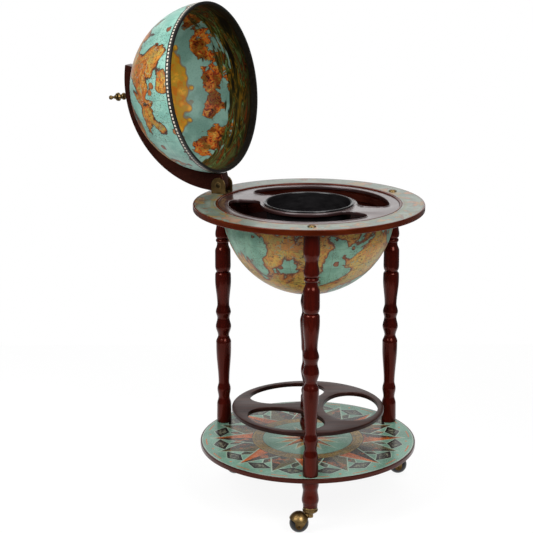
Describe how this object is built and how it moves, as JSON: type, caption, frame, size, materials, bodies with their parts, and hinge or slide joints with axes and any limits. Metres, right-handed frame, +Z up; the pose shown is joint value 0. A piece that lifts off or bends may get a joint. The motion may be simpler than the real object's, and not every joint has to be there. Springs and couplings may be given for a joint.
{
  "type": "globe bar cart",
  "caption": "Round rolling bar cart: a hinged globe lid over a table ring with bottle and glass wells, turned legs, a bottle rack and a round bottom shelf.",
  "frame": {"origin": "on the floor, below the middle of the open cart's bounding box", "axes": "+Z up; the cart's own axis stands at x 0.094, y -0.021; the front leg is on the -Y side and the lid opens towards -X +Y"},
  "size_m": [0.6622, 0.5163, 1.0328],
  "materials": {
    "mahogany": "clear gloss lacquer over red mahogany stain",
    "dark_wood": "dark mahogany satin lacquer",
    "ring_print": "printed paper under satin lacquer, dark lacquered edge",
    "shelf_print": "printed paper with a compass rose under satin lacquer, dark lacquered edge",
    "globe_print": "printed old-style map under satin lacquer",
    "lid_print": "printed map outside and printed sky inside, satin lacquer",
    "black_trim": "dark satin",
    "black_plastic": "polished black moulding",
    "ball_plastic": "black nylon, lightly scuffed",
    "brass": "antique brass, darkened in the hollows",
    "steel": "zinc-plated"
  },
  "bodies": {
    "cart": {"table_ring": "ring_print", "tray_plate": "dark_wood", "lower_bowl": "globe_print", "bowl_hoop": "dark_wood", "glass_shelf": "black_plastic", "ice_bucket": "black_plastic", "bottom_shelf": "shelf_print", "bottle_rack": "dark_wood", "column_upper": "mahogany", "column_lower": "mahogany", "bowl_bolt": "steel", "rack_stud": "steel", "shelf_bolt": "steel", "leg_front": "mahogany", "leg_right": "mahogany", "leg_left": "mahogany", "leg_bolt_front": "steel", "leg_bolt_right": "steel", "leg_bolt_left": "steel", "bolt_cap_front": "brass", "bolt_cap_right": "brass", "foot_front": "mahogany", "foot_right": "mahogany", "foot_left": "mahogany", "foot_stud_front": "steel", "foot_stud_right": "steel", "foot_stud_left": "steel", "caster_socket_front": "brass", "caster_socket_right": "brass", "caster_socket_left": "brass", "hinge_bracket": "brass", "hinge_pin": "brass", "hinge_screw_1": "brass", "hinge_screw_2": "brass", "hinge_screw_3": "brass", "hinge_screw_4": "brass"},
    "lid": {"lid_shell": "lid_print", "lid_band": "black_trim", "meridian_arm": "mahogany", "finial": "brass", "finial_nut": "steel"},
    "caster_front": {"caster_hood_front": "brass", "caster_stem_front": "steel", "caster_axle_front": "steel"},
    "caster_right": {"caster_hood_right": "brass", "caster_stem_right": "steel", "caster_axle_right": "steel"},
    "caster_left": {"caster_hood_left": "brass", "caster_stem_left": "steel", "caster_axle_left": "steel"},
    "ball_front": {"caster_ball_front": "ball_plastic"},
    "ball_right": {"caster_ball_right": "ball_plastic"},
    "ball_left": {"caster_ball_left": "ball_plastic"}
  },
  "joints": [
    {"name": "lid_hinge", "type": "hinge", "parent": "cart", "child": "lid", "pos_m": [-0.08612, 0.07477, 0.6535], "axis": [0.4695, 0.8829, 0], "range_deg": [0, 99]},
    {"name": "swivel_front", "type": "hinge", "parent": "cart", "child": "caster_front", "pos_m": [0.094, -0.2285, 0.05], "axis": [0, 0, 1], "continuous": true},
    {"name": "swivel_right", "type": "hinge", "parent": "cart", "child": "caster_right", "pos_m": [0.2737, 0.08275, 0.05], "axis": [0, 0, 1], "continuous": true},
    {"name": "swivel_left", "type": "hinge", "parent": "cart", "child": "caster_left", "pos_m": [-0.0857, 0.08275, 0.05], "axis": [0, 0, 1], "continuous": true},
    {"name": "roll_front", "type": "hinge", "parent": "caster_front", "child": "ball_front", "pos_m": [0.0715, -0.2285, 0.0195], "axis": [0, 1, 0], "continuous": true},
    {"name": "roll_right", "type": "hinge", "parent": "caster_right", "child": "ball_right", "pos_m": [0.2962, 0.08275, 0.0195], "axis": [0, 1, 0], "continuous": true},
    {"name": "roll_left", "type": "hinge", "parent": "caster_left", "child": "ball_left", "pos_m": [-0.0632, 0.08275, 0.0195], "axis": [0, 1, 0], "continuous": true}
  ]
}
